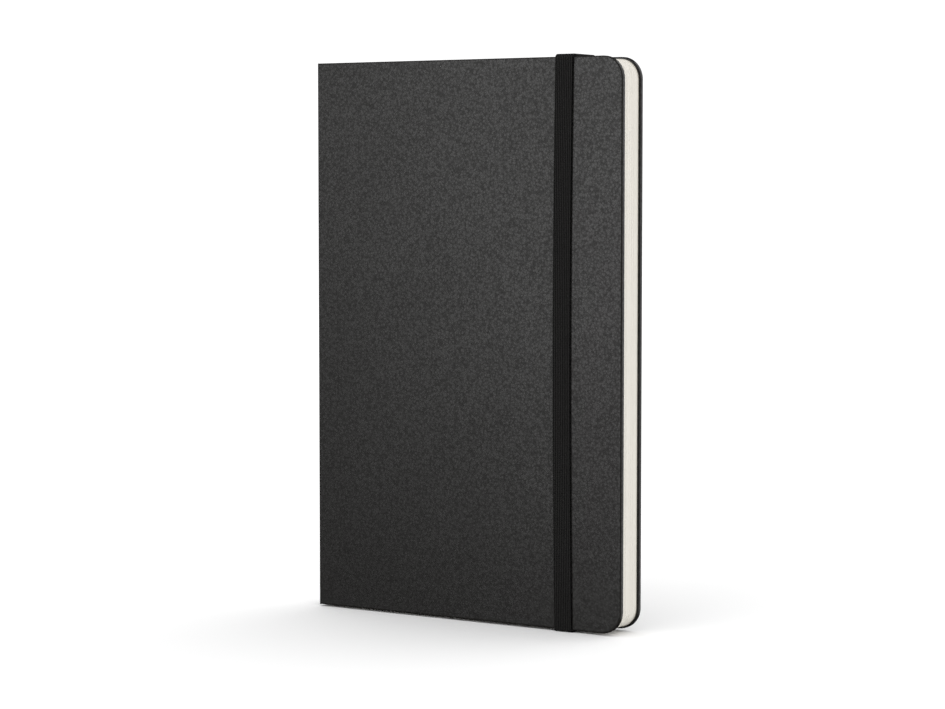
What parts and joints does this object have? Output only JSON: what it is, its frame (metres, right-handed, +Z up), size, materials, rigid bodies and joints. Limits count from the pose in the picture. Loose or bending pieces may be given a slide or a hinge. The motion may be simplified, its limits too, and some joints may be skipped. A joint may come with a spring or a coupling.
{
  "type": "pocket notebook",
  "caption": "Hard-cover pocket notebook with sewn pages, rounded corners, a rear pocket and an elastic band that holds it shut.",
  "frame": {"origin": "middle of the footprint, at the bottom of the elastic band under the tail edge", "axes": "+X from the spine to the fore-edge, +Y from the front cover to the back cover, +Z up from tail to head"},
  "size_m": [0.09, 0.0118, 0.1412],
  "materials": {
    "cover_paper": "matte black coated covering sheet with a fine leather-like grain",
    "grey_board": "matte greyboard",
    "endpaper": "matte cream endpaper",
    "page_paper": "matte cream writing paper",
    "mull_cloth": "open starched cotton gauze",
    "lining_paper": "matte brown lining paper",
    "thread": "waxed white thread",
    "gusset_cloth": "fine plain-weave cloth",
    "elastic": "ribbed black woven elastic"
  },
  "bodies": {
    "back_cover": {"back_cover_wrap": "cover_paper", "back_board": "grey_board", "back_pastedown": "endpaper", "back_mull_flap": "mull_cloth", "pocket_gusset_spine": "gusset_cloth", "pocket_gusset_fore": "gusset_cloth", "pocket_tail_fold": "gusset_cloth", "elastic_head_root": "elastic", "elastic_tail_root": "elastic"},
    "pocket": {"pocket_panel": "endpaper"},
    "rear_half": {"back_flyleaf": "endpaper", "signature_6": "page_paper", "signature_7": "page_paper", "signature_8": "page_paper", "signature_9": "page_paper", "signature_10": "page_paper"},
    "spine": {"spine_wrap": "cover_paper", "spine_strip": "grey_board", "spine_lining": "lining_paper", "mull": "mull_cloth", "sewing_thread": "thread"},
    "front_half": {"front_flyleaf": "endpaper", "signature_1": "page_paper", "signature_2": "page_paper", "signature_3": "page_paper", "signature_4": "page_paper", "signature_5": "page_paper"},
    "front_cover": {"front_cover_wrap": "cover_paper", "front_board": "grey_board", "front_pastedown": "endpaper", "front_mull_flap": "mull_cloth"},
    "elastic_legs": {"elastic_head_leg": "elastic", "elastic_tail_leg": "elastic"},
    "elastic_band": {"elastic_strip": "elastic"}
  },
  "joints": [
    {"name": "block_lift", "type": "hinge", "parent": "back_cover", "child": "rear_half", "pos_m": [-0.045, 0.00515, 0.0705], "axis": [0, 0, 1], "range_deg": [-175, 0]},
    {"name": "middle_open", "type": "hinge", "parent": "rear_half", "child": "spine", "pos_m": [-0.045, 0.00515, 0.0705], "axis": [0, 0, -1], "range_deg": [0, 89]},
    {"name": "front_half_turn", "type": "hinge", "parent": "spine", "child": "front_half", "pos_m": [-0.045, -0.00515, 0.0705], "axis": [0, 0, -1], "range_deg": [0, 89]},
    {"name": "cover_open", "type": "hinge", "parent": "front_half", "child": "front_cover", "pos_m": [-0.045, -0.00515, 0.0705], "axis": [0, 0, 1], "range_deg": [-175, 0]},
    {"name": "pocket_open", "type": "hinge", "parent": "back_cover", "child": "pocket", "pos_m": [0, 0.00337, 0.0035], "axis": [1, 0, 0], "range_deg": [0, 3.2]},
    {"name": "elastic_stretch", "type": "slide", "parent": "back_cover", "child": "elastic_legs", "axis": [1, 0, 0], "range_m": [0, 0.02], "stiffness_N_per_m": 60, "deforming": ["elastic_head_leg", "elastic_tail_leg"]},
    {"name": "elastic_swing", "type": "hinge", "parent": "elastic_legs", "child": "elastic_band", "pos_m": [0.029, 0.00036, 0.0705], "axis": [0, 0, 1], "range_deg": [0, 180], "deforming": ["elastic_strip"]}
  ],
  "couplings": [
    {"joint": "front_half_turn", "follows": "middle_open", "ratio": 1},
    {"joint": "pocket_open", "follows": "block_lift", "ratio": -0.018}
  ]
}
